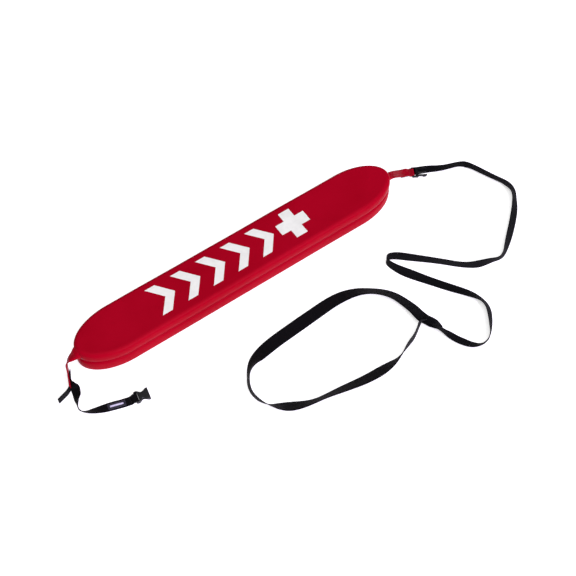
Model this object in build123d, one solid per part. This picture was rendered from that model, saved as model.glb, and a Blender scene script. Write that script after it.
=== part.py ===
"""Lifeguard rescue tube, lying as stored.

Two foam slabs are laminated over a webbing core and dipped in vinyl. A tab of the
same webbing leaves each end. The tow tab carries the plug half of a side release
buckle and the tow strap, which ends in a wide shoulder loop. The clip tab carries
a short strap with the socket half of the buckle.

Millimetres. +X runs along the tube to the tow end and +Z is up. The origin is the
centre of the flat underside, on the surface that the tube rests on.
"""
import os
from math import cos, radians, sin, tan

from build123d import *

# ---- driving dimensions: tube -------------------------------------------------
TUBE_LENGTH = 1004.0       # a 40 in tube, measured between the collars
TUBE_WIDTH = 146.0
TUBE_HEIGHT = 79.0
END_LENGTH = 132.0          # length of each half-elliptic end
RIM_RADIUS = 11.5           # outer rim of each slab
SEAM_HEIGHT = 43.0          # where the two slabs meet, with the webbing between them
SEAM_RADIUS = 10.0          # softer rim of each slab at the seam
SEAM_FILL = 1.5             # extra vinyl that pools in the seam
SKIN = 1.0                  # dipped vinyl
INK = 0.3                   # printed marks

# ---- driving dimensions: webbing ----------------------------------------------
WEB_WIDTH = 25.0            # 1 in webbing
WEB_THICKNESS = 2.0
LOOP_WIDTH = 38.0           # 1.5 in webbing
DOUBLE_WEB = 2 * WEB_THICKNESS
THREAD = 0.6                # raised height of a row of stitches
STITCH_PITCH = 3.0
STITCH_LENGTH = 2.04
STITCH_WIDTH = 0.8

# ---- driving dimensions: side release buckle ----------------------------------
BAR_RADIUS = 2.0
EYE_CLEARANCE = 0.25        # between a webbing eye and the bar inside it
BUCKLE_WIDTH = 33.0
RAIL_WIDTH = 3.2
FRAME_HEIGHT = 7.0
SOCKET_HEIGHT = 11.0
BAR_Z = 6.4                 # height of both web bars above the floor

# ---- where the loose pieces lie -----------------------------------------------
TOW_BAR = Vector(594, -9, BAR_Z)
TOW_YAW = -30.0
CLIP_BAR = Vector(-432, -172, BAR_Z)
CLIP_YAW = -12.0

# Centre lines on the floor, chosen by hand. The scene repeats them.
TOW_ROUTE = [
    (640, -18), (678, -39), (725, -54), (756, -91), (774, -145), (801, -197),
    (765, -260), (712, -308), (660, -348), (617, -378), (583, -363), (550, -354),
    (515, -333), (474, -289), (423, -240), (373, -192), (341, -200), (356, -240),
    (390, -297), (433, -364), (476, -424), (489, -469), (461, -515), (422, -557),
    (385, -551), (358, -507), (347, -476), (340, -452),
]
LOOP_ROUTE = [
    (324, -404), (318, -355), (292, -281), (201, -221), (48, -231), (-88, -241),
    (-156, -266), (-187, -327), (-158, -389), (-93, -431), (1, -447), (97, -465),
    (185, -463), (246, -443), (297, -413),
]
CLIP_ROUTE = [
    (-547, -63), (-558, -86), (-571, -109), (-557, -130), (-526, -145),
    (-491, -156), (-453, -167),
]


def corner_radius(corner, before, after):
    """Largest fillet radius that the two runs beside a corner allow."""
    first = corner - before
    second = after - corner
    half_turn = radians(first.get_angle(second)) / 2
    return 0.45 * min(first.length, second.length) / tan(half_turn)


def flat_strap(name, route, width):
    """A strap lying flat on the floor along straight runs joined by tangent arcs."""
    points = [Vector(x, y, WEB_THICKNESS / 2) for x, y in route]
    corners = zip(points[1:-1], points[:-2], points[2:])
    radii = [corner_radius(corner, before, after) for corner, before, after in corners]
    path = FilletPolyline(*points, radius=radii)
    start = Plane(origin=path @ 0, x_dir=(0, 0, 1), z_dir=path % 0)
    strap = sweep(start * Rectangle(WEB_THICKNESS, width), path=path)
    expected = WEB_THICKNESS * width * path.length
    print(name, "length", round(path.length), "volume ratio", round(strap.volume / expected, 4))
    print("  radii", [round(radius) for radius in radii])
    return strap


def ribbon(stations, width, thickness):
    """A webbing strip lofted through stations of (point, direction, across)."""
    sections = []
    for point, direction, across in stations:
        plane = Plane(origin=point, x_dir=across, z_dir=direction)
        sections.append(plane * Rectangle(width, thickness))
    return loft(sections, ruled=True)


def stitch_row(start, end, z):
    """Raised thread dashes on a flat webbing face, from start to end."""
    start = Vector(*start)
    run = Vector(*end) - start
    count = int(run.length // STITCH_PITCH)
    angle = Vector(1, 0).get_signed_angle(run, Vector(0, 0, 1))
    dashes = Part()
    for index in range(count):
        middle = start + run * ((index + 0.5) / count)
        dash = Box(STITCH_LENGTH, STITCH_WIDTH, THREAD, align=(Align.CENTER, Align.CENTER, Align.MIN))
        dashes += Pos(middle.X, middle.Y, z) * Rot(0, 0, angle) * dash
    return dashes


# ---- tube ---------------------------------------------------------------------
def tube_plan(inset):
    """Plan outline: straight sides between two half ellipses."""
    half_width = TUBE_WIDTH / 2 - inset
    end = END_LENGTH - inset
    straight = TUBE_LENGTH / 2 - END_LENGTH
    right = EllipticalCenterArc((straight, 0), end, half_width, start_angle=-90, arc_size=180)
    left = EllipticalCenterArc((-straight, 0), end, half_width, start_angle=90, arc_size=180)
    return make_face([right, Line(right @ 1, left @ 0), left, Line(left @ 1, right @ 0)])


def slab(inset, low, high, low_radius, high_radius):
    """One slab with its lower and upper rims rounded."""
    body = Pos(0, 0, low) * extrude(tube_plan(inset), high - low)
    body = fillet(body.edges().group_by(Axis.Z)[0], low_radius)
    return fillet(body.edges().group_by(Axis.Z)[-1], high_radius)


def bottom_slab(inset):
    seam = SEAM_RADIUS + inset * SEAM_FILL
    return slab(inset, inset, SEAM_HEIGHT, RIM_RADIUS - inset, seam)


def top_slab(inset):
    seam = SEAM_RADIUS + inset * SEAM_FILL
    return slab(inset, SEAM_HEIGHT, TUBE_HEIGHT - inset, seam, RIM_RADIUS - inset)


TOW_COLLAR = 9.0
TOW_COLLAR_BASE = 38.0
CLIP_COLLAR = 16.0
CLIP_COLLAR_BASE = 46.0
COLLAR_ROOT_DEPTH = 7.0     # how far a collar reaches back into the tube's end
COLLAR_ROOT_HEIGHT = 14.0
COLLAR_WALL = 1.5
TAB_START = TUBE_LENGTH / 2 - 30.0


def collar(side, base_width, length):
    """Vinyl web that flares from the tube's end to the tab; side is +1 or -1."""
    tip = side * (TUBE_LENGTH / 2 + length)
    root = side * (TUBE_LENGTH / 2 - COLLAR_ROOT_DEPTH)
    direction = Vector(side, 0, 0)
    across = Vector(0, 1, 0)
    root_plane = Plane(origin=(root, 0, SEAM_HEIGHT), x_dir=across, z_dir=direction)
    tip_plane = Plane(origin=(tip, 0, SEAM_HEIGHT), x_dir=across, z_dir=direction)
    root_face = root_plane * RectangleRounded(base_width, COLLAR_ROOT_HEIGHT, 5)
    tip_face = tip_plane * RectangleRounded(WEB_WIDTH + 2 * COLLAR_WALL, DOUBLE_WEB + 2 * COLLAR_WALL, 2)
    return loft([root_face, tip_face])


def tab_passage():
    """Space that the webbing takes right through the foam and the skin."""
    passage = Box(2 * TAB_START, WEB_WIDTH, WEB_THICKNESS)
    tab = Box(TUBE_LENGTH - TAB_START, WEB_WIDTH, DOUBLE_WEB)
    middle = (TAB_START + TUBE_LENGTH) / 2
    passage += Pos(middle, 0, 0) * tab
    passage += Pos(-middle, 0, 0) * tab
    return Pos(0, 0, SEAM_HEIGHT) * passage


def vinyl_skin():
    outer = bottom_slab(0) + top_slab(0)
    outer += collar(1, TOW_COLLAR_BASE, TOW_COLLAR)
    outer += collar(-1, CLIP_COLLAR_BASE, CLIP_COLLAR)
    return outer - bottom_slab(SKIN) - top_slab(SKIN) - tab_passage()


def core_webbing():
    return Pos(0, 0, SEAM_HEIGHT) * Box(2 * TAB_START, WEB_WIDTH, WEB_THICKNESS)


# ---- printed marks ------------------------------------------------------------
MARK_HEIGHT = 92.0
MARK_PITCH = 79.0
MARK_START = -264.0
MARK_COUNT = 5
MARK_STROKE = 30.0
MARK_POINT = 36.0
CROSS_CENTRE = (181.0, 3.0)
CROSS_ARM = 35.0


def chevron():
    """One arrow mark that points along +X."""
    half = MARK_HEIGHT / 2
    outline = Polyline(
        (0, -half), (MARK_STROKE, -half), (MARK_STROKE + MARK_POINT, 0), (MARK_STROKE, half),
        (0, half), (MARK_POINT, 0), close=True,
    )
    return extrude(make_face(outline), INK)


def printed_chevrons():
    marks = [
        Pos(MARK_START + index * MARK_PITCH, CROSS_CENTRE[1], TUBE_HEIGHT) * chevron()
        for index in range(MARK_COUNT)
    ]
    return Compound(children=marks)


def printed_cross():
    plan = Rectangle(MARK_HEIGHT, CROSS_ARM) + Rectangle(CROSS_ARM, MARK_HEIGHT)
    return Pos(*CROSS_CENTRE, TUBE_HEIGHT) * extrude(plan, INK)


# ---- side release buckle, web bar along local Y, nose along local +X -----------
def webbing_eye(lead):
    """Webbing folded round a bar, with a flat doubled lead behind it."""
    inner = BAR_RADIUS + EYE_CLEARANCE
    outer = inner + WEB_THICKNESS
    ring = Rot(90, 0, 0) * Cylinder(outer, WEB_WIDTH)
    tail = Pos(-lead / 2, 0, 0) * Box(lead, WEB_WIDTH, DOUBLE_WEB)
    return ring + tail - Rot(90, 0, 0) * Cylinder(inner, WEB_WIDTH * 2)


def at_tow_bar(shape):
    return Location(TOW_BAR, (0, 0, TOW_YAW)) * shape


def at_clip_bar(shape):
    return Location(CLIP_BAR, (0, 0, CLIP_YAW)) * shape


TOW_EYE_LEAD = 12.0
CLIP_EYE_LEAD = 8.0
FRAME_BACK = 7.5            # back of the cross block
FRAME_FRONT = 15.0
GUIDE_HEIGHT = 4.0
ARM_GAP = 0.4
ARM_ROOT = FRAME_FRONT + ARM_GAP
ARM_HEIGHT = FRAME_HEIGHT - 1.4


def male_frame():
    """Web bar, two rails, the cross block with grip ridges and the centre guide."""
    half = BUCKLE_WIDTH / 2
    bar = Rot(90, 0, 0) * Cylinder(BAR_RADIUS, BUCKLE_WIDTH - 2)
    rails = Part()
    for side in (-1, 1):
        rail = Box(14, RAIL_WIDTH, FRAME_HEIGHT - 1)
        rail = fillet(rail.edges().filter_by(Axis.Y).group_by(Axis.X)[0], 2.6)
        rails += Pos(4, side * (half - RAIL_WIDTH / 2), 0) * rail
    block = Box(FRAME_FRONT - FRAME_BACK, BUCKLE_WIDTH, FRAME_HEIGHT)
    block = Pos((FRAME_BACK + FRAME_FRONT) / 2, 0, 0) * block
    block = fillet(block.edges().filter_by(Axis.Y), 1.2)
    for step in (9.6, 11.3, 13.0):
        ridge = Rot(90, 0, 0) * Cylinder(0.45, 18)
        block += Pos(step, 0, FRAME_HEIGHT / 2) * ridge
    guide_plan = Polyline(
        (FRAME_FRONT - 1, -2.6), (35, -2.2), (38, 0), (35, 2.2), (FRAME_FRONT - 1, 2.6), close=True
    )
    guide = Pos(0, 0, -GUIDE_HEIGHT / 2) * extrude(make_face(guide_plan), GUIDE_HEIGHT)
    return bar + rails + block + guide


def latch_arm(side):
    """Springy arm with a barbed nose that spreads outwards; side is +1 or -1."""
    plan = Polyline(
        (ARM_ROOT, 9.4), (ARM_ROOT, 13.0), (27, 13.6), (30, 16.3), (35.5, 15.4),
        (40, 12.4), (41.5, 10.4), (39.5, 9.4), (33, 10.4), (27, 10.4), close=True,
    )
    arm = Pos(0, 0, -ARM_HEIGHT / 2) * extrude(make_face(plan), ARM_HEIGHT)
    arm = fillet(arm.edges().filter_by(Axis.Z).sort_by(Axis.X)[-5:], 0.7)
    return arm if side > 0 else mirror(arm, Plane.XZ)


SOCKET_FRONT = 34.0
CAVITY_BACK = 9.5
CAVITY_HEIGHT = 7.0
MOUTH_WIDTH = 27.6
MOUTH_BACK = 22.0
PANEL_DEPTH = 0.5


def socket_plan():
    """Bulge at the web bar, a waist and a flared mouth."""
    side = Spline(
        (-4.2, 14.2), (1.5, 16.4), (6.5, 15.2), (14.0, 9.6), (20.0, 10.6), (27.0, 14.8),
        (SOCKET_FRONT, 16.2),
    )
    other = mirror(side, Plane.XZ)
    front = Line(side @ 1, other @ 1)
    back = Line(side @ 0, other @ 0)
    return make_face([side, front, other, back])


def socket_body():
    """Two plates joined by side walls at the mouth, with open windows at the waist."""
    body = Pos(0, 0, -SOCKET_HEIGHT / 2) * extrude(socket_plan(), SOCKET_HEIGHT)
    body = chamfer(body.edges().group_by(Axis.Z)[0] + body.edges().group_by(Axis.Z)[-1], 0.9)
    cavity = Pos((CAVITY_BACK + MOUTH_BACK) / 2, 0, 0) * Box(MOUTH_BACK - CAVITY_BACK, 50, CAVITY_HEIGHT)
    mouth_length = SOCKET_FRONT - MOUTH_BACK + 5
    mouth = Pos(MOUTH_BACK + mouth_length / 2, 0, 0) * Box(mouth_length, MOUTH_WIDTH, CAVITY_HEIGHT)
    web_slot = Pos(-0.5, 0, 0) * Box(10.8, WEB_WIDTH + 1.4, 30)
    bar = Rot(90, 0, 0) * Cylinder(BAR_RADIUS, WEB_WIDTH + 4)
    body = body - cavity - mouth - web_slot + bar
    panel = Box(11, 12, 2 * PANEL_DEPTH)
    panel = fillet(panel.edges().filter_by(Axis.Z), 2.5)
    for face in (-1, 1):
        body -= Pos(25, 0, face * SOCKET_HEIGHT / 2) * panel
    return body


# ---- tabs ---------------------------------------------------------------------
def direction_of(yaw, rise=0.0):
    return Vector(cos(radians(yaw)), sin(radians(yaw)), rise)


def tow_tab():
    """Doubled webbing that droops from the tube to the tow buckle's bar."""
    middle = SEAM_HEIGHT
    across = Vector(0, 1, 0)
    turned = Vector(-sin(radians(TOW_YAW)), cos(radians(TOW_YAW)), 0)
    heading = direction_of(TOW_YAW)
    lead_end = TOW_BAR - heading * TOW_EYE_LEAD
    stations = [
        (Vector(TAB_START, 0, middle), Vector(1, 0, 0), across),
        (Vector(TUBE_LENGTH / 2 + TOW_COLLAR, 0, middle), Vector(1, 0, 0), across),
        (Vector(530, 1, 34), Vector(1, 0, -0.4), across),
        (Vector(556, 1, 21), Vector(1, 0, -0.5), across + turned * 0.3),
        (Vector(571, 0, 12.5), Vector(1, -0.2, -0.45), across + turned),
        (lead_end, heading, turned),
    ]
    return ribbon(stations, WEB_WIDTH, DOUBLE_WEB) + at_tow_bar(webbing_eye(TOW_EYE_LEAD))


# The clip tab's standing part, where the clip strap is sewn to it.
STANDING_STATIONS = [
    (Vector(-542, -19, 23), Vector(-0.5, -1, -0.7), Vector(-1, 0.5, 0.8)),
    (Vector(-550, -35, 14), Vector(-0.5, -1, -0.1), Vector(-0.1, 0.1, 1)),
    (Vector(-560, -54, 13), Vector(-0.5, -1, 0), Vector(0, 0, 1)),
]


def clip_tab():
    """Doubled webbing that twists a quarter turn from the tube down to the floor."""
    middle = SEAM_HEIGHT
    stations = [
        (Vector(-TAB_START, 0, middle), Vector(-1, 0, 0), Vector(0, 1, 0)),
        (Vector(-TUBE_LENGTH / 2 - CLIP_COLLAR, 0, middle), Vector(-1, 0, 0), Vector(0, 1, 0)),
        (Vector(-534, -6, 34), Vector(-1, -0.8, -0.7), Vector(-0.5, 1, 0.1)),
        *STANDING_STATIONS,
    ]
    return ribbon(stations, WEB_WIDTH, DOUBLE_WEB)


def upright_strip(start, end, thickness, height, low):
    """A strip standing on its edge from start to end."""
    start = Vector(*start)
    run = Vector(*end) - start
    angle = Vector(1, 0).get_signed_angle(run, Vector(0, 0, 1))
    strip = Box(run.length, thickness, height, align=(Align.MIN, Align.CENTER, Align.MIN))
    return Pos(start.X, start.Y, low) * Rot(0, 0, angle) * strip


def clip_tab_tail():
    """Hemmed end of the webbing that sticks out past the clip strap."""
    tail = upright_strip((-565, -60), (-601, -69), DOUBLE_WEB, WEB_WIDTH, 0.4)
    return fillet(tail.edges().filter_by(Axis.Z), 1.8)


def clip_strap_sewn_end():
    """End of the clip strap, sewn flat against the standing part of the tab."""
    reach = (DOUBLE_WEB + WEB_THICKNESS) / 2
    stations = []
    for point, direction, across in STANDING_STATIONS[1:]:
        away = direction.cross(across).normalized()
        stations.append((point - away * reach, direction, across))
    return ribbon(stations, WEB_WIDTH - 1, WEB_THICKNESS)


# ---- straps -------------------------------------------------------------------
def clip_strap_eye():
    """Doubled end of the clip strap, folded round the socket's web bar."""
    heading = direction_of(CLIP_YAW)
    across = Vector(-sin(radians(CLIP_YAW)), cos(radians(CLIP_YAW)), 0)
    rest = DOUBLE_WEB / 2
    start = Vector(*CLIP_ROUTE[-1], rest) + Vector(0.3, -0.1, 0)
    flat = CLIP_BAR - heading * 17
    stations = [
        (start, Vector(38, -11, 0), across),
        (Vector(flat.X, flat.Y, rest), heading, across),
        (CLIP_BAR - heading * CLIP_EYE_LEAD, heading, across),
    ]
    return ribbon(stations, WEB_WIDTH, DOUBLE_WEB) + at_clip_bar(webbing_eye(CLIP_EYE_LEAD))


def tow_strap_sewn_end():
    """Sewn end of the tow strap, under the tow tab and the buckle."""
    level = WEB_THICKNESS / 2
    start = Vector(562, 9, level)
    bend = Vector(602, -4, level)
    end = Vector(*TOW_ROUTE[0], level)
    last_run = Vector(*TOW_ROUTE[1], level) - end
    up = Vector(0, 0, 1)
    stations = [
        (start, bend - start, up.cross(bend - start)),
        (bend, end - start, up.cross(end - start)),
        (end - last_run.normalized() * 0.3, last_run, up.cross(last_run)),
    ]
    return ribbon(stations, WEB_WIDTH, WEB_THICKNESS)


def strap_end_corners(end, before, width):
    """Left and right corners of a strap's end edge, seen along its last run."""
    end = Vector(*end)
    heading = (end - Vector(*before)).normalized()
    left = Vector(-heading.Y, heading.X) * (width / 2)
    return [end + left, end - left]


def loop_junction():
    """Overlapped webbing where the loop closes on the end of the tow strap."""
    corners = strap_end_corners(LOOP_ROUTE[0], LOOP_ROUTE[1], LOOP_WIDTH)[::-1]
    corners.append(Vector(352, -430))
    corners += strap_end_corners(TOW_ROUTE[-1], TOW_ROUTE[-2], WEB_WIDTH)[::-1]
    corners += strap_end_corners(LOOP_ROUTE[-1], LOOP_ROUTE[-2], LOOP_WIDTH)[::-1]
    return extrude(make_face(Polyline(*corners, close=True)), DOUBLE_WEB)


# ---- labels and stitching -----------------------------------------------------
LABEL_CENTRE = (-483.0, -158.0)
LABEL_YAW = -16.0
LABEL_THICKNESS = 0.5


def strap_label():
    patch = Box(46, 17, LABEL_THICKNESS, align=(Align.CENTER, Align.CENTER, Align.MIN))
    patch = fillet(patch.edges().filter_by(Axis.Z), 1.0)
    return Pos(*LABEL_CENTRE, WEB_THICKNESS) * Rot(0, 0, LABEL_YAW) * patch


def label_stripe():
    stripe = Box(38, 5, INK, align=(Align.CENTER, Align.CENTER, Align.MIN))
    return Pos(*LABEL_CENTRE, WEB_THICKNESS + LABEL_THICKNESS) * Rot(0, 0, LABEL_YAW) * stripe


def junction_stitching():
    """Box stitch with a cross on the shoulder loop's junction."""
    corners = [(304, -409), (334, -410), (338, -438), (312, -428)]
    rows = Part()
    for start, end in zip(corners, corners[1:] + corners[:1]):
        rows += stitch_row(start, end, DOUBLE_WEB)
    rows += stitch_row((308, -412), (333, -433), DOUBLE_WEB)
    return rows


def clip_eye_stitching():
    rows = Part()
    for offset in (-9.0, -14.0):
        rows += stitch_row((offset, -10.5), (offset, 10.5), 0)
    return Location(CLIP_BAR + Vector(0, 0, DOUBLE_WEB / 2), (0, 0, CLIP_YAW)) * rows


def tow_eye_stitching():
    rows = Part()
    for offset in (-8.0, -10.8):
        rows += stitch_row((offset, -10.5), (offset, 10.5), 0)
    return Location(TOW_BAR + Vector(0, 0, DOUBLE_WEB / 2), (0, 0, TOW_YAW)) * rows


NODES = {
    "foam_bottom_slab": lambda: bottom_slab(SKIN) - tab_passage(),
    "foam_top_slab": lambda: top_slab(SKIN) - tab_passage(),
    "core_webbing": core_webbing,
    "vinyl_skin": vinyl_skin,
    "printed_chevrons": printed_chevrons,
    "printed_cross": printed_cross,
    "tow_tab_webbing": tow_tab,
    "tow_eye_stitching": tow_eye_stitching,
    "clip_tab_webbing": clip_tab,
    "clip_tab_tail": clip_tab_tail,
    "clip_strap_sewn_end": clip_strap_sewn_end,
    "clip_strap": lambda: flat_strap("clip_strap", CLIP_ROUTE, WEB_WIDTH),
    "clip_strap_eye": clip_strap_eye,
    "clip_eye_stitching": clip_eye_stitching,
    "strap_label": strap_label,
    "label_stripe": label_stripe,
    "tow_strap_sewn_end": tow_strap_sewn_end,
    "tow_strap": lambda: flat_strap("tow_strap", TOW_ROUTE, WEB_WIDTH),
    "shoulder_loop": lambda: flat_strap("shoulder_loop", LOOP_ROUTE, LOOP_WIDTH),
    "loop_junction": loop_junction,
    "junction_stitching": junction_stitching,
    "buckle_plug_frame": lambda: at_tow_bar(male_frame()),
    "buckle_latch_arm_left": lambda: at_tow_bar(latch_arm(1)),
    "buckle_latch_arm_right": lambda: at_tow_bar(latch_arm(-1)),
    "buckle_socket": lambda: at_clip_bar(socket_body()),
}

os.makedirs("parts", exist_ok=True)
for node, make in NODES.items():
    export_step(make(), f"parts/{node}.step")
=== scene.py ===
"""Looks of a lifeguard's rescue tube: a dipped foam float, webbing tabs, buckle halves and straps.

Lengths are in metres unless a comment says otherwise, in the same frame as the CAD: +X towards the
tow strap, +Z up.
"""

import math

import bmesh
import bpy
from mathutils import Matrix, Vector, noise


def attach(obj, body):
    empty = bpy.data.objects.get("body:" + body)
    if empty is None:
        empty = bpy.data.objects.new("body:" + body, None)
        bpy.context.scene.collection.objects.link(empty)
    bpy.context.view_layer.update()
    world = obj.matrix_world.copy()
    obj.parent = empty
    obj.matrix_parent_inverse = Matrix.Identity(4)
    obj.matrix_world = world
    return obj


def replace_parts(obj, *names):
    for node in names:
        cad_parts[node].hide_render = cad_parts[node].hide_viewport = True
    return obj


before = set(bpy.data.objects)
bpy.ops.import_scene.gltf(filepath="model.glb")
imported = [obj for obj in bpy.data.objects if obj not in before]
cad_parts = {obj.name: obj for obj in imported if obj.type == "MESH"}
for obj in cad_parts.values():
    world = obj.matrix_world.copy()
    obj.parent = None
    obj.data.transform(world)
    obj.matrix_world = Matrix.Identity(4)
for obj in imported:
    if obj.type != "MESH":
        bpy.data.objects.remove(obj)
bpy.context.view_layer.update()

# ---- sizes ------------------------------------------------------------------
HALF_LENGTH = 0.502
HALF_WIDTH = 0.073
HEIGHT = 0.079
END_LENGTH = 0.132
RIM_RADIUS = 0.0115
SEAM_RADIUS = 0.010
SEAM_HEIGHT = 0.043
SEAM_START = -66  # degrees: where each of the groove's two arcs starts, with a narrow strip between
SIDE_BULGE = 0.0006
EDGE_BAND = 0.014  # width of the rim band that follows the outline; further in, rows close on the spine
SPINE_END = 0.075  # how far the spine runs into each rounded end
SKIN_SOFTNESS = 0.0005
TOP_UNEVENNESS = 0.0004
TOP_FADE = 0.012
STRAIGHT_STEPS = 48
ROUND_STEPS = 56

WEB_THICKNESS = 0.002
TOW_WIDTH = 0.025
LOOP_WIDTH = 0.038
COATED_THICKNESS = 0.0038
TAIL_THICKNESS = 0.0038

BAR_HEIGHT = 0.0064
TOW_BAR = Vector((0.594, -0.009, BAR_HEIGHT))
TOW_YAW = math.radians(-30)
CLIP_BAR = Vector((-0.432, -0.172, BAR_HEIGHT))
CLIP_YAW = math.radians(-12)

# Straps on the floor: points in millimetres, then (point number, roll in degrees). A roll of 90
# stands on edge.
TOW_POINTS = [
    (562, 9), (602, -4), (639, -20), (676, -42), (730, -59), (749, -82), (772, -142), (801, -205),
    (765, -260), (712, -308), (660, -348), (617, -378), (581, -366), (548, -357), (513, -336),
    (472, -292), (421, -243), (370, -194), (346, -200), (356, -240), (390, -297), (433, -364),
    (476, -424), (489, -469), (461, -515), (422, -557), (380, -554), (353, -511), (343, -479),
    (334, -452), (326, -425), (319, -411),
]
TOW_ROLL = [
    (0, 0), (2, 0), (2.5, -6), (3, -14), (3.5, -22), (4, -20), (4.5, -5), (5, -18), (6.5, -22),
    (7, -18), (7.5, -56), (8, -45), (8.5, -38), (9, -40), (9.5, -42), (10, -52), (10.5, -66),
    (11, -84), (11.25, -96), (11.5, -100), (12, -84), (12.5, -74), (13, -67), (13.5, -80),
    (14, -87), (15, -85), (15.5, -82), (16, -75), (16.5, -66), (17, -72), (17.5, -80), (18, -98),
    (18.5, -104), (19, -115), (19.5, -142), (20, -168), (20.5, -180), (21, -180), (21.5, -188),
    (22, -199), (22.5, -222), (23, -227), (23.5, -229), (24, -238), (24.5, -254), (25, -283),
    (25.5, -300), (26, -325), (26.5, -345), (27, -348), (27.5, -345), (28, -338), (28.4, -322),
    (29, -326), (30, -352), (31, -358),
]
LOOP_POINTS = [
    (338, -455), (329, -426), (317, -402), (316, -361), (292, -281), (201, -221), (48, -231),
    (-88, -241), (-154, -268), (-185, -329), (-160, -391), (-95, -433), (1, -449), (97, -468),
    (185, -466), (235, -444), (262, -436), (285, -422), (302, -409), (318, -412),
]
LOOP_ROLL = [
    (0, 40), (1, 14), (1.5, 20), (1.9, 14), (2.4, 20), (3, 24), (3.5, 30), (4, 32), (4.5, 37),
    (5, 14), (5.5, 3), (6, -2), (7, 1), (7.5, 30), (8, 74), (8.5, 80), (9, 95), (9.5, 103),
    (10, 126), (10.5, 158), (11, 143), (11.5, 126), (12, 139), (12.5, 148), (13, 153),
    (13.5, 152), (14, 124), (14.5, 100), (15, 90), (17.8, 85), (18.5, 115), (19, 150),
]
CLIP_POINTS = [
    (-533, -13), (-541, -27), (-544, -39), (-545, -56), (-551, -77), (-559, -95), (-568, -113),
    (-557, -131), (-526, -145), (-491, -156), (-464, -165), (-443, -169.6),
]
CLIP_ROLL = [
    (0, 90), (1, 90), (2, 72), (3, 16), (4, 32), (5, 72), (6, 95), (6.5, 115), (7, 130), (7.5, 147),
    (8, 160), (8.5, 175), (9, 180), (11, 180),
]


# ---- materials --------------------------------------------------------------
class Nodes:
    """Short way to add and join shader nodes."""

    def __init__(self, name):
        self.material = bpy.data.materials.new(name)
        self.material.use_nodes = True
        self.tree = self.material.node_tree
        self.shader = self.tree.nodes["Principled BSDF"]

    def add(self, kind, **values):
        node = self.tree.nodes.new(kind)
        for key, value in values.items():
            if key in node.inputs:
                node.inputs[key].default_value = value
            else:
                setattr(node, key, value)
        return node

    def join(self, output, target):
        self.tree.links.new(output, target)

    def math(self, operation, first, second=None):
        node = self.tree.nodes.new("ShaderNodeMath")
        node.operation = operation
        for index, value in enumerate((first, second)):
            if isinstance(value, (int, float)):
                node.inputs[index].default_value = value
            elif value is not None:
                self.join(value, node.inputs[index])
        return node.outputs[0]

    def noise(self, scale, detail=2.0, stretch=(1, 1, 1)):
        place = self.add("ShaderNodeTexCoord")
        mapping = self.add("ShaderNodeMapping", Scale=stretch)
        self.join(place.outputs["Object"], mapping.inputs["Vector"])
        texture = self.add("ShaderNodeTexNoise", Scale=scale, Detail=detail)
        self.join(mapping.outputs["Vector"], texture.inputs["Vector"])
        return texture.outputs["Fac"]

    def blend_colours(self, factor, first, second, low=0.35, high=0.65):
        ramp = self.add("ShaderNodeValToRGB")
        ramp.color_ramp.elements[0].position = low
        ramp.color_ramp.elements[0].color = (*first, 1)
        ramp.color_ramp.elements[1].position = high
        ramp.color_ramp.elements[1].color = (*second, 1)
        self.join(factor, ramp.inputs["Fac"])
        return ramp.outputs["Color"]

    def bump(self, height, distance, strength=1.0, below=None):
        node = self.add("ShaderNodeBump", Strength=strength, Distance=distance)
        self.join(height, node.inputs["Height"])
        if below is not None:
            self.join(below, node.inputs["Normal"])
        return node.outputs["Normal"]

    def finish(self, colour=None, roughness=0.5, normal=None, specular=0.5, **more):
        if isinstance(colour, tuple):
            self.shader.inputs["Base Color"].default_value = (*colour, 1)
        elif colour is not None:
            self.join(colour, self.shader.inputs["Base Color"])
        if isinstance(roughness, float):
            self.shader.inputs["Roughness"].default_value = roughness
        else:
            self.join(roughness, self.shader.inputs["Roughness"])
        self.shader.inputs["Specular IOR Level"].default_value = specular
        if normal is not None:
            self.join(normal, self.shader.inputs["Normal"])
        for name, value in more.items():
            self.shader.inputs[name.replace("_", " ")].default_value = value
        return self.material


def dipped_vinyl():
    """Thick red skin with a soft shine, and the fine ripple that dipping leaves."""
    nodes = Nodes("dipped_vinyl")
    colour = nodes.blend_colours(nodes.noise(7, 3), (0.298, 0.0005, 0.0088), (0.330, 0.0010, 0.0112))
    ripple = nodes.bump(nodes.noise(38, 2), 0.0009, 0.35)
    peel = nodes.bump(nodes.noise(420, 2), 0.00012, 0.35, ripple)
    scuffs = nodes.noise(26, 5, (1, 3, 1))
    rough = nodes.math("MULTIPLY_ADD", scuffs, 0.16)
    rough.node.inputs[2].default_value = 0.27
    return nodes.finish(colour, rough, peel, specular=0.012)


def coated_webbing():
    """Webbing under the same dip: the ribs still show as soft ridges."""
    nodes = Nodes("coated_webbing")
    ribs = weave_height(nodes, 0.0030, 0.0024)
    colour = nodes.blend_colours(nodes.noise(60, 2), (0.235, 0.0005, 0.0075), (0.285, 0.0010, 0.0105))
    return nodes.finish(colour, 0.36, nodes.bump(ribs, 0.00022, 0.6), specular=0.1)


def printed_ink():
    nodes = Nodes("printed_ink")
    colour = nodes.blend_colours(nodes.noise(55, 4), (0.715, 0.745, 0.64), (0.770, 0.800, 0.69))
    peel = nodes.bump(nodes.noise(420, 2), 0.00010, 0.3)
    return nodes.finish(colour, 0.45, peel, specular=0.2)


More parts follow.
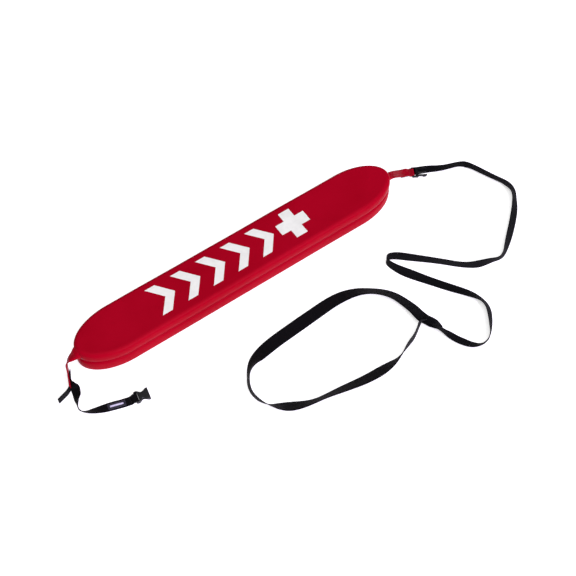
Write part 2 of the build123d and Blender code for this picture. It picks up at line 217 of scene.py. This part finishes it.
def weave_height(nodes, across_pitch, along_pitch):
    """Over and under ribs from the strap's own flat coordinates, in metres."""
    place = nodes.add("ShaderNodeUVMap", uv_map="flat")
    split = nodes.add("ShaderNodeSeparateXYZ")
    nodes.join(place.outputs["UV"], split.inputs["Vector"])
    across = nodes.math("MULTIPLY", split.outputs["X"], 2 * math.pi / across_pitch)
    along = nodes.math("MULTIPLY", split.outputs["Y"], 2 * math.pi / along_pitch)
    half_step = nodes.math("MULTIPLY", nodes.math("SINE", across), 1.1)
    wave = nodes.math("SINE", nodes.math("ADD", along, half_step))
    columns = nodes.math("ABSOLUTE", nodes.math("COSINE", nodes.math("MULTIPLY", across, 0.5)))
    return nodes.math("ADD", nodes.math("MULTIPLY", wave, 0.5), columns)


def webbing(name, dark, light):
    nodes = Nodes(name)
    height = weave_height(nodes, 0.0017, 0.0021)
    # Colour follows rib height: painted shade, darker in the weave's hollows and lighter on the ribs'
    # tops.
    colour = nodes.blend_colours(nodes.math("MULTIPLY", height, 0.6), dark, light, 0.1, 0.9)
    fuzz = nodes.bump(nodes.noise(1800, 1), 0.0001, 0.3)
    normal = nodes.bump(height, 0.00028, 0.8, fuzz)
    return nodes.finish(colour, 0.7, normal, specular=0.06, Sheen_Weight=0.01, Sheen_Roughness=0.4)


def thread():
    nodes = Nodes("thread")
    return nodes.finish((0.014, 0.014, 0.016), 0.6, nodes.bump(nodes.noise(2500, 1), 0.0001, 0.5))


def woven_label(name, colour):
    nodes = Nodes(name)
    rows = nodes.bump(nodes.noise(900, 1, (1, 6, 1)), 0.0001, 0.6)
    return nodes.finish(colour, 0.55, rows, specular=0.3, Sheen_Weight=0.2)


def moulded_plastic():
    nodes = Nodes("acetal")
    grain = nodes.bump(nodes.noise(1400, 2), 0.00006, 0.5)
    worn = nodes.blend_colours(nodes.noise(90, 4), (0.0035, 0.0035, 0.004), (0.008, 0.008, 0.009))
    return nodes.finish(worn, 0.34, grain, specular=0.22)


VINYL = dipped_vinyl()
COATED = coated_webbing()
INK = printed_ink()
WEB = webbing("black_webbing", (0.0016, 0.0016, 0.0020), (0.0052, 0.0052, 0.0062))
THREAD = thread()
LABEL = woven_label("label", (0.010, 0.010, 0.020))
STRIPE = woven_label("label_stripe", (0.60, 0.57, 0.72))
ACETAL = moulded_plastic()


# ---- meshes -----------------------------------------------------------------
def new_piece(name, verts, faces, material, body="tube", uvs=None):
    """A visible mesh that rides on a body; uvs holds one flat coordinate for each vertex."""
    mesh = bpy.data.meshes.new(name)
    mesh.from_pydata(verts, [], faces)
    mesh.validate()
    if uvs is not None:
        layer = mesh.uv_layers.new(name="flat")
        for loop in mesh.loops:
            layer.data[loop.index].uv = uvs[loop.vertex_index]
    for polygon in mesh.polygons:
        polygon.use_smooth = True
    mesh.materials.append(material)
    piece = bpy.data.objects.new(name, mesh)
    bpy.context.collection.objects.link(piece)
    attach(piece, body)
    return piece


def grid_faces(rows, columns, closed):
    """Quads between rows of vertices; closed joins each row's end to its start."""
    faces = []
    for row in range(rows - 1):
        for column in range(columns if closed else columns - 1):
            after = (column + 1) % columns
            first, second = row * columns, (row + 1) * columns
            faces.append((first + column, first + after, second + after, second + column))
    return faces


def outline_points():
    """The float's plan: (point, outward direction, spine point) going round once."""
    points = []
    straight = HALF_LENGTH - END_LENGTH
    for side in (1, -1):
        for step in range(STRAIGHT_STEPS):
            x = side * straight * (1 - 2 * step / STRAIGHT_STEPS)
            spot = Vector((x, side * HALF_WIDTH, 0))
            points.append((spot, Vector((0, side, 0)), Vector((x, 0, 0))))
        for step in range(ROUND_STEPS):
            turn = math.pi / 2 * side + math.pi * step / ROUND_STEPS
            across, along = math.sin(turn), math.cos(turn)
            spot = Vector((-side * straight + along * END_LENGTH, across * HALF_WIDTH, 0))
            out = Vector((along / END_LENGTH, across / HALF_WIDTH, 0)).normalized()
            points.append((spot, out, Vector((-side * straight + along * SPINE_END, 0, 0))))
    return points


def arc(centre, radius, start, end, steps):
    """(inset, height) pairs along an arc, angles in degrees."""
    turns = [math.radians(start + (end - start) * step / steps) for step in range(steps + 1)]
    return [(centre[0] - radius * math.cos(t), centre[1] + radius * math.sin(t)) for t in turns]


def half_profile(top):
    """(inset, distance from the seam) from inside the groove to the rim of a flat face at top."""
    profile = arc((SEAM_RADIUS, SEAM_RADIUS), SEAM_RADIUS, SEAM_START, 0, 8)
    low, high = SEAM_RADIUS, top - RIM_RADIUS
    for step in range(1, 8):
        part = step / 8
        bulge = SIDE_BULGE * math.sin(math.pi * part)
        profile.append((-bulge, low + (high - low) * part))
    profile += arc((RIM_RADIUS, top - RIM_RADIUS), RIM_RADIUS, 0, 90, 12)
    return profile


def top_height(x, y):
    """The top's height with its small unevenness, before any fading at the rim."""
    waves = noise.noise(Vector((x * 9, y * 14, 2.0))) + 0.5 * noise.noise(Vector((x * 24, y * 30, 7.0)))
    return HEIGHT + TOP_UNEVENNESS * waves


def skin_vertex(spot, out, spine, inset, height):
    """A point of the skin, pushed in or out a little as foam under a dip would be."""
    edge = spot - out * min(inset, EDGE_BAND)
    if inset > EDGE_BAND:
        edge = edge.lerp(spine, (inset - EDGE_BAND) / (HALF_WIDTH - EDGE_BAND))
    soft = noise.noise(Vector((spot.x * 7, spot.y * 9, height * 22)))
    vertex = edge + out * soft * SKIN_SOFTNESS
    vertex.z = height
    if height > HEIGHT - 1e-6:
        fade = min(1.0, (inset - RIM_RADIUS) / TOP_FADE)
        vertex.z = HEIGHT + (top_height(vertex.x, vertex.y) - HEIGHT) * max(0.0, fade)
    return vertex


def tube_skin():
    flat_insets = [RIM_RADIUS + (HALF_WIDTH - RIM_RADIUS) * (step / 14) ** 1.15 for step in range(1, 15)]
    upper = [(inset, SEAM_HEIGHT + height) for inset, height in half_profile(HEIGHT - SEAM_HEIGHT)]
    upper += [(inset, HEIGHT) for inset in flat_insets]
    lower = [(inset, SEAM_HEIGHT - height) for inset, height in half_profile(SEAM_HEIGHT)]
    lower += [(inset, 0.0) for inset in flat_insets]
    profile = lower[::-1] + upper
    outline = outline_points()
    verts = []
    for inset, height in profile:
        for spot, out, spine in outline:
            verts.append(skin_vertex(spot, out, spine, inset, height))
    faces = grid_faces(len(profile), len(outline), closed=True)
    piece = new_piece("tube_skin", verts, faces, VINYL)
    weld = bmesh.new()
    weld.from_mesh(piece.data)
    bmesh.ops.remove_doubles(weld, verts=weld.verts, dist=0.0004)
    weld.to_mesh(piece.data)
    weld.free()
    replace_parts(piece, "vinyl_skin")


def flared_web(name, stations):
    """The dip's web that runs from the float on to a tab.

    stations holds (centre, width direction, half width, half thickness) from the float out.
    """
    centres = smooth_line("web_line", [Vector(station[0]) for station in stations], 6)
    around, verts = 28, []
    for index, centre in enumerate(centres):
        at = index / (len(centres) - 1) * (len(stations) - 1)
        low = min(int(at), len(stations) - 2)
        part = at - low
        across = Vector(stations[low][1]).lerp(Vector(stations[low + 1][1]), part)
        wide = stations[low][2] + (stations[low + 1][2] - stations[low][2]) * part
        thin = stations[low][3] + (stations[low + 1][3] - stations[low][3]) * part
        run = centres[min(len(centres) - 1, index + 1)] - centres[max(0, index - 1)]
        run.normalize()
        across = (across - run * across.dot(run)).normalized()
        face = across.cross(run)
        for step in range(around):
            turn = 2 * math.pi * step / around
            side = abs(math.cos(turn)) ** 0.6 * math.copysign(wide, math.cos(turn))
            up = abs(math.sin(turn)) ** 0.8 * math.copysign(thin, math.sin(turn))
            verts.append(centre + across * side + face * up)
    faces = grid_faces(len(centres), around, closed=True)
    faces.append(tuple(range((len(centres) - 1) * around, len(centres) * around)))
    return new_piece(name, verts, faces, VINYL)


def tow_collar():
    flared_web("tow_collar", [
        ((0.488, 0, 0.048), (0, 1, 0), 0.0190, 0.017),
        ((0.500, 0, 0.047), (0, 1, 0), 0.0160, 0.012),
        ((0.506, 0, 0.0452), (0, 1, 0), 0.0142, 0.006),
        ((0.514, 0, 0.0425), (0, 1, 0), 0.0135, 0.0034),
    ])


def clip_collar():
    flared_web("clip_collar", [
        ((-0.488, 0, 0.060), (0, 1, 0), 0.0200, 0.016),
        ((-0.500, 0, 0.0575), (0, 1, 0), 0.0165, 0.012),
        ((-0.508, 0.001, 0.0540), (0, 1, -0.1), 0.0140, 0.007),
        ((-0.516, 0.002, 0.0490), (0.1, 1, -0.3), 0.0135, 0.0042),
        ((-0.523, 0.003, 0.0450), (0.2, 0.8, -0.55), 0.0133, 0.0032),
    ])


# ---- printed marks ----------------------------------------------------------
MARK_COUNT = 5
MARK_HEIGHT = 0.092
MARK_PITCH = 0.079
MARK_START = -0.264
MARK_STROKE = 0.030
MARK_POINT = 0.036
CROSS_CENTRE = Vector((0.181, 0.003))
CROSS_ARM = 0.035
INK_LIFT = 0.00028


def ink_patch(verts, faces, corner_at, columns, rows):
    """A sheet of ink that follows the top; corner_at(u, v) gives its plan point."""
    first = len(verts)
    for row in range(rows + 1):
        for column in range(columns + 1):
            x, y = corner_at(column / columns, row / rows)
            verts.append(Vector((x, y, top_height(x, y) + INK_LIFT)))
    for face in grid_faces(rows + 1, columns + 1, closed=False):
        faces.append(tuple(first + index for index in face))


def chevron_marks():
    verts, faces = [], []
    for mark in range(MARK_COUNT):
        left = MARK_START + mark * MARK_PITCH

        def corner_at(u, v):
            point = MARK_POINT * (1 - abs(2 * v - 1))
            return left + point + MARK_STROKE * u, CROSS_CENTRE.y + MARK_HEIGHT * (v - 0.5)

        ink_patch(verts, faces, corner_at, 10, 32)
    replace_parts(new_piece("chevron_marks", verts, faces, INK), "printed_chevrons")


def cross_mark():
    verts, faces = [], []
    half, arm = MARK_HEIGHT / 2, CROSS_ARM / 2
    for low_x, high_x, low_y, high_y in (
        (-half, -arm, -arm, arm), (-arm, arm, -half, half), (arm, half, -arm, arm),
    ):
        def corner_at(u, v):
            return (CROSS_CENTRE.x + low_x + (high_x - low_x) * u,
                    CROSS_CENTRE.y + low_y + (high_y - low_y) * v)

        ink_patch(verts, faces, corner_at, 12, 24)
    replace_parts(new_piece("cross_mark", verts, faces, INK), "printed_cross")


# ---- straps -----------------------------------------------------------------
def smooth_line(name, points, detail=10):
    """The points of a smooth curve that the given control points pull."""
    curve = bpy.data.curves.new(name, "CURVE")
    curve.dimensions = "3D"
    spline = curve.splines.new("NURBS")
    spline.points.add(len(points) - 1)
    for spot, place in zip(spline.points, points):
        spot.co = (*place, 1)
    spline.order_u = 3
    spline.use_endpoint_u = True
    spline.resolution_u = detail
    holder = bpy.data.objects.new(name, curve)
    bpy.context.collection.objects.link(holder)
    mesh = bpy.data.meshes.new_from_object(holder)
    line = [vertex.co.copy() for vertex in mesh.vertices]
    bpy.data.objects.remove(holder)
    return line


def eased(keys, at):
    """Value between (position, value) keys, eased in and out."""
    if at <= keys[0][0]:
        return keys[0][1]
    for (start, low), (end, high) in zip(keys, keys[1:]):
        if at <= end:
            part = (at - start) / (end - start)
            return low + (high - low) * part * part * (3 - 2 * part)
    return keys[-1][1]


def averaged(values, reach):
    """Running mean, so that eased values have no corners."""
    result = []
    for index in range(len(values)):
        near = values[max(0, index - reach):index + reach + 1]
        result.append(sum(near) / len(near))
    return result


def strap_section(width, thickness):
    """Half round edges with a fuller selvedge: (across, up) pairs going round."""
    half, thin = width / 2, thickness / 2
    top = []
    for step in range(13):
        across = -1 + 2 * step / 12
        edge = max(0.0, (abs(across) - 0.86) / 0.14)
        height = thin * (0.86 + 0.14 * min(1.0, abs(across) / 0.8)) * math.sqrt(1 - 0.85 * edge ** 2)
        top.append((across * half, height))
    return top + [(across, -height) for across, height in reversed(top)]


def strap_mesh(name, line, acrosses, width, thickness, material, ends=()):
    """A flat strap along line whose width lies along acrosses.

    ends holds (length, share) for each end: how far it tapers, and to what share of the width.
    """
    verts, uvs, run = [], [], 0.0
    total = line_length(line)
    for index, centre in enumerate(line):
        before, after = line[max(0, index - 1)], line[min(len(line) - 1, index + 1)]
        tangent = (after - before).normalized()
        across = (acrosses[index] - tangent * acrosses[index].dot(tangent)).normalized()
        face = across.cross(tangent)
        run += (centre - before).length if index else 0.0
        share = 1.0
        for (reach, least), gone in zip(ends, (run, total - run)):
            if gone < reach:
                share = least + (1 - least) * math.sin(math.pi / 2 * gone / reach)
        section = strap_section(width * share, thickness)
        for side, up in section:
            verts.append(centre + across * side + face * up)
            uvs.append((side + (0.5 if up < 0 else 0.0), run))
    count = len(section)
    faces = grid_faces(len(line), count, closed=True)
    faces.append(tuple(range(count))[::-1])
    faces.append(tuple(range((len(line) - 1) * count, len(line) * count)))
    return new_piece(name, verts, faces, material, uvs=uvs)


STITCH_PITCH = 0.0032
STITCH_LENGTH = 0.0022
THREAD_RADIUS = 0.00033
EYE_RADIUS = 0.0033
EYE_STITCH = 0.0105  # half the length of a stitching row across an eye
EYE_TURN = 122  # degrees: how far webbing wraps a bar on each side
ROLL_WOBBLE = 3.0  # degrees
FLOOR_DRIFT = 0.0006
# Plan shift for each metre that a strap's centre is raised: its points were traced at floor level.
STAND_SHIFT = Vector((-0.36, -0.51, 0))


def floor_strap(points, rolls, width, seed, lifts=()):
    """Centre line and width directions of a strap that lies on the floor and rolls."""
    base = smooth_line("strap_line", [(x / 1000, y / 1000, 0) for x, y in points])
    spans = len(points) - 2
    last = len(base) - 1
    marks = [min(len(points) - 1.0, max(0.0, spans * i / last + 0.5)) for i in range(last + 1)]
    marks[0], marks[-1] = 0.0, len(points) - 1.0
    turns = averaged([eased(rolls, mark) for mark in marks], 3)
    line, acrosses = [], []
    for index, spot in enumerate(base):
        before, after = base[max(0, index - 1)], base[min(last, index + 1)]
        tangent = (after - before).normalized()
        left = Vector((0, 0, 1)).cross(tangent)
        wobble = ROLL_WOBBLE * noise.noise(Vector((index * 0.05, seed, 0)))
        roll = math.radians(turns[index] + wobble)
        raised = abs(math.sin(roll)) * width / 2 + abs(math.cos(roll)) * WEB_THICKNESS / 2
        lift = eased(lifts, marks[index]) / 1000 if lifts else 0.0
        drift = FLOOR_DRIFT * (0.5 + 0.5 * noise.noise(Vector((index * 0.08, seed, 5))))
        centre = spot + STAND_SHIFT * (raised - WEB_THICKNESS / 2)
        centre.z = raised + lift + drift
        line.append(centre)
        acrosses.append(left * math.cos(roll) + Vector((0, 0, math.sin(roll))))
    return line, acrosses


def line_length(line):
    return sum((after - before).length for before, after in zip(line, line[1:]))


def stitch_dashes(name, rows):
    """Thread dashes along rows, each a (start, end, outward) triple."""
    verts, faces = [], []
    for start, end, out in rows:
        run = end - start
        along = run.normalized()
        side = out.cross(along).normalized()
        for step in range(max(1, int(run.length / STITCH_PITCH))):
            middle = start + along * (STITCH_PITCH * (step + 0.5))
            first = len(verts)
            for part, thick in ((-1, 0.35), (-0.6, 0.95), (0, 1.15), (0.6, 0.95), (1, 0.35)):
                spot = middle + along * part * STITCH_LENGTH / 2
                for turn in range(6):
                    angle = math.pi * turn / 3
                    away = side * math.cos(angle) + out * math.sin(angle)
                    verts.append(spot + away * THREAD_RADIUS * thick)
            for face in grid_faces(5, 6, closed=True):
                faces.append(tuple(first + index for index in face))
    return new_piece(name, verts, faces, THREAD)


def box_stitch(centre, along, across, out, length, width):
    """Rows round a rectangle, and a cross inside it."""
    corners = [
        centre + along * length / 2 * i + across * width / 2 * j
        for i, j in ((-1, -1), (1, -1), (1, 1), (-1, 1))
    ]
    rows = [(corners[i], corners[(i + 1) % 4], out) for i in range(4)]
    rows += [(corners[0], corners[2], out), (corners[1], corners[3], out)]
    return rows


def local_point(bar, yaw, x, y, z=0.0):
    return bar + Vector((math.cos(yaw) * x - math.sin(yaw) * y,
                         math.sin(yaw) * x + math.cos(yaw) * y, z))


def eye_line(bar, yaw, radius, lead, sew):
    """Single webbing that leaves a doubled lead, goes round a bar and comes back below."""
    spots = [(-lead, sew), (-lead * 0.7, sew)]
    for step in range(13):
        turn = math.radians(EYE_TURN - 2 * EYE_TURN * step / 12)
        spots.append((radius * math.cos(turn), radius * math.sin(turn)))
    spots += [(-lead * 0.7, -sew), (-lead, -sew)]
    return [local_point(bar, yaw, x, 0, z) for x, z in spots]


def tow_strap():
    lifts = [(0, 0), (28, 0), (30, 7.5), (31, 8.5)]
    line, acrosses = floor_strap(TOW_POINTS, TOW_ROLL, TOW_WIDTH, 1.0, lifts)
    piece = strap_mesh("tow_strap_web", line, acrosses, TOW_WIDTH, WEB_THICKNESS, WEB,
                       ends=((0.004, 0.95), (0.020, 0.62)))
    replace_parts(piece, "tow_strap", "tow_strap_sewn_end")


def shoulder_loop():
    lifts = [(0, 0.2), (17, 0), (19, 1.5)]
    line, acrosses = floor_strap(LOOP_POINTS, LOOP_ROLL, LOOP_WIDTH, 4.0, lifts)
    piece = strap_mesh("shoulder_loop_web", line, acrosses, LOOP_WIDTH, WEB_THICKNESS, WEB,
                       ends=((0.030, 0.55), (0.020, 0.55)))
    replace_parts(piece, "shoulder_loop", "loop_junction")


def junction():
    """Box stitching through the loop's two ends and the end of the tow strap."""
    centre = Vector((0.322, -0.428, 0.0082))
    along = Vector((-0.45, 0.89, 0)).normalized()
    across = Vector((0.89, 0.45, 0)).normalized()
    rows = box_stitch(centre, along, across, Vector((0, 0, 1)), 0.026, 0.019)
    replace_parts(stitch_dashes("junction_stitches", rows), "junction_stitching")


def clip_strap():
    """Sewn to the tab on edge, flat from there on, and round the socket's bar."""
    lifts = [(0, 15), (1, 6), (2, 1), (3, 0)]
    floor, acrosses = floor_strap(CLIP_POINTS, CLIP_ROLL, TOW_WIDTH, 8.0, lifts)
    heading = Vector((math.cos(CLIP_YAW), math.sin(CLIP_YAW), 0))
    side = Vector((math.sin(CLIP_YAW), -math.cos(CLIP_YAW), 0))
    rise = smooth_line("strap_rise", [
        local_point(CLIP_BAR, CLIP_YAW, -0.0165, 0, -0.0053),
        local_point(CLIP_BAR, CLIP_YAW, -0.012, 0, -0.0035),
        *eye_line(CLIP_BAR, CLIP_YAW, EYE_RADIUS, 0.008, 0.0014),
    ], 4)
    flat = [spot for spot in floor if (spot - rise[0]).dot(heading) < -0.002 or spot.x < -0.47]
    line = flat + rise
    acrosses = acrosses[:len(flat)] + [side] * len(rise)
    piece = strap_mesh("clip_strap_web", line, acrosses, TOW_WIDTH, WEB_THICKNESS, WEB)
    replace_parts(piece, "clip_strap", "clip_strap_sewn_end", "clip_strap_eye")
    rows = []
    for place in (-0.0125, -0.0165):
        ends = [local_point(CLIP_BAR, CLIP_YAW, place, y, -0.0032) for y in (-EYE_STITCH, EYE_STITCH)]
        rows.append((ends[0], ends[1], Vector((0, 0, 1))))
    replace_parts(stitch_dashes("clip_eye_stitches", rows), "clip_eye_stitching")
    return line


# ---- tabs -------------------------------------------------------------------
def spread(keys, count):
    """Width directions between given ones, evenly along the line."""
    result = []
    for index in range(count):
        at = index / (count - 1) * (len(keys) - 1)
        low = min(int(at), len(keys) - 2)
        result.append(keys[low].lerp(keys[low + 1], at - low).normalized())
    return result


def tow_tab():
    side = Vector((-math.sin(TOW_YAW), math.cos(TOW_YAW), 0))
    straight = Vector((0, 1, 0))
    lead = [(0.495, 0.0, 0.0430), (0.512, 0.0, 0.0425), (0.528, 0.0005, 0.0370),
            (0.549, 0.001, 0.0240), (0.565, 0.0005, 0.0145)]
    lead += [tuple(local_point(TOW_BAR, TOW_YAW, place, 0, rise)) for place, rise in
             ((-0.018, 0.0045), (-0.012, 0.0008), (-0.0075, 0))]
    line = smooth_line("tab_line", [Vector(p) for p in lead], 8)
    count = len(line)
    acrosses = []
    for index in range(count):
        part = min(1.0, index / (count * 0.75))
        acrosses.append(straight.lerp(side, part * part * (3 - 2 * part)).normalized())
    piece = strap_mesh("tow_tab", line, acrosses, TOW_WIDTH, COATED_THICKNESS, COATED)
    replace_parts(piece, "tow_tab_webbing")
    ring = smooth_line("eye_line", eye_line(TOW_BAR, TOW_YAW, EYE_RADIUS, 0.011, 0.0009), 5)
    strap_mesh("tow_tab_eye", ring, [side] * len(ring), TOW_WIDTH, WEB_THICKNESS, COATED)
    rows = []
    for place, lift in ((-0.0082, 0.0021), (-0.0110, 0.0026)):
        ends = [local_point(TOW_BAR, TOW_YAW, place, y, lift) for y in (-EYE_STITCH, EYE_STITCH)]
        rows.append((ends[0], ends[1], Vector((0, 0, 1))))
    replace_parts(stitch_dashes("tow_eye_stitches", rows), "tow_eye_stitching")


def clip_tab():
    """Comes flat out of the collar, then twists on to its edge beside the strap."""
    places = [(-0.498, 0.0, 0.0575), (-0.510, 0.001, 0.0530), (-0.524, 0.003, 0.0450),
              (-0.536, -0.002, 0.0390), (-0.541, -0.018, 0.0290), (-0.549, -0.034, 0.0185),
              (-0.558, -0.053, 0.0135)]
    line = smooth_line("tab_line", [Vector(p) for p in places], 8)
    keys = [Vector(k) for k in (
        (0, 1, 0), (0, 1, -0.1), (0.2, 0.8, -0.55), (0.3, 0.45, -0.8), (0.2, 0.25, -0.92),
        (0.1, 0.1, -0.98), (0, 0, -1),
    )]
    acrosses = spread(keys, len(line))
    piece = strap_mesh("clip_tab", line, acrosses, TOW_WIDTH, COATED_THICKNESS, COATED)
    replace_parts(piece, "clip_tab_webbing")


def clip_tail():
    """Short loose end of the sewn webbing, standing on its edge."""
    places = [(-0.559, -0.054, 0.0130), (-0.569, -0.061, 0.0130), (-0.585, -0.065, 0.0130),
              (-0.601, -0.070, 0.0130)]
    line = smooth_line("tail_line", [Vector(p) for p in places], 8)
    acrosses = [Vector((0, 0, 1))] * len(line)
    piece = strap_mesh("clip_tail", line, acrosses, TOW_WIDTH, TAIL_THICKNESS, WEB)
    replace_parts(piece, "clip_tab_tail")


# ---- label ------------------------------------------------------------------
LABEL_REACH = (-0.507, -0.459)  # from and to, along X
STRIPE_REACH = (-0.502, -0.464)
LABEL_SIZE = (0.017, 0.0012, 0.0006)  # width, lift above the strap's centre line, thickness
STRIPE_SIZE = (0.0050, 0.0016, 0.0004)


def strap_patch(name, line, near, size, material):
    """A thin patch that follows the clip strap over the places whose numbers near holds."""
    width, lift, thickness = size
    part = [spot + Vector((0, 0, lift)) for spot in line[near[0]:near[-1] + 1]]
    acrosses = []
    for index in range(len(part)):
        run = part[min(len(part) - 1, index + 1)] - part[max(0, index - 1)]
        acrosses.append(Vector((0, 0, 1)).cross(run).normalized())
    return strap_mesh(name, part, acrosses, width, thickness, material)


def label(line):
    flat = [index for index, spot in enumerate(line) if spot.z < 0.006]
    near = [index for index in flat if LABEL_REACH[0] < line[index].x < LABEL_REACH[1]]
    patch = strap_patch("label_patch", line, near, LABEL_SIZE, LABEL)
    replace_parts(patch, "strap_label")
    inner = [index for index in near if STRIPE_REACH[0] < line[index].x < STRIPE_REACH[1]]
    stripe = strap_patch("label_band", line, inner, STRIPE_SIZE, STRIPE)
    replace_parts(stripe, "label_stripe")


# ---- buckle -----------------------------------------------------------------
EDGE_BEVEL = 0.00035
BUCKLE_NODES = ("buckle_plug_frame", "buckle_latch_arm_left", "buckle_latch_arm_right", "buckle_socket")


def dress_buckle():
    """The CAD's own buckle solids, with softened edges."""
    for name in BUCKLE_NODES:
        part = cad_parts[name]
        part.data.materials.clear()
        part.data.materials.append(ACETAL)
        bevel = part.modifiers.new("soft_edges", "BEVEL")
        bevel.width = EDGE_BEVEL
        bevel.segments = 2
        bevel.limit_method = "ANGLE"
        bevel.angle_limit = math.radians(35)
        bevel.harden_normals = True
        for polygon in part.data.polygons:
            polygon.use_smooth = True


# ---- camera and light -------------------------------------------------------
FLOOR_REACH = 40
FLOOR_DROP = 0.0004  # below the object's lowest face, so that the two do not flicker
FLOOR_GLOW = 0.62
WORLD_GLOW = 0.03
COOL_PINK = (1.0, 0.88, 1.22)


def add_camera():
    azimuth, elevation, distance = math.radians(-35.04), math.radians(58), 3.370
    target = Vector((0.0788, -0.1203, 0))
    back = Vector((math.sin(azimuth) * math.cos(elevation),
                   -math.cos(azimuth) * math.cos(elevation), math.sin(elevation)))
    camera = bpy.data.objects.new("camera", bpy.data.cameras.new("camera"))
    camera.data.lens = 77.68
    camera.data.sensor_width = 36
    camera.location = target + back * distance
    camera.rotation_mode = "QUATERNION"
    camera.rotation_quaternion = (-back).to_track_quat("-Z", "Y")
    bpy.context.collection.objects.link(camera)
    bpy.context.scene.camera = camera


def add_sun(name, azimuth, elevation, strength, softness, colour=(1, 1, 1)):
    """A distant light from a direction, with its angles in degrees; softness is its apparent width."""
    sun = bpy.data.objects.new(name, bpy.data.lights.new(name, "SUN"))
    sun.data.energy = strength
    sun.data.color = colour
    sun.data.angle = math.radians(softness)
    turn, rise = math.radians(azimuth), math.radians(elevation)
    back = Vector((math.sin(turn) * math.cos(rise), -math.cos(turn) * math.cos(rise), math.sin(rise)))
    sun.rotation_mode = "QUATERNION"
    sun.rotation_quaternion = (-back).to_track_quat("-Z", "Y")
    bpy.context.collection.objects.link(sun)


def add_stage():
    mesh = bpy.data.meshes.new("floor")
    signs = ((-1, -1), (1, -1), (1, 1), (-1, 1))
    corners = [(x * FLOOR_REACH, y * FLOOR_REACH, -FLOOR_DROP) for x, y in signs]
    mesh.from_pydata(corners, [], [(0, 1, 2, 3)])
    floor = bpy.data.objects.new("floor", mesh)
    bpy.context.collection.objects.link(floor)
    nodes = Nodes("floor")
    more = {"Emission_Color": (1, 1, 1, 1), "Emission_Strength": FLOOR_GLOW}
    mesh.materials.append(nodes.finish((0.85, 0.85, 0.85), 0.9, specular=0.0, **more))
    world = bpy.data.worlds.new("world")
    world.use_nodes = True
    background = world.node_tree.nodes["Background"]
    background.inputs["Color"].default_value = (1, 1, 1, 1)
    background.inputs["Strength"].default_value = WORLD_GLOW
    bpy.context.scene.world = world
    add_sun("overhead", 0, 86, 1.68, 60)
    add_sun("front", 14, 36, 2.3, 30, COOL_PINK)
    add_sun("strip", -3, 31, 0.9, 7, COOL_PINK)
    bpy.context.scene.view_settings.view_transform = "Standard"


add_camera()
add_stage()
tube_skin()
tow_collar()
clip_collar()
chevron_marks()
cross_mark()
tow_tab()
clip_tab()
clip_tail()
tow_strap()
shoulder_loop()
junction()
label(clip_strap())
dress_buckle()
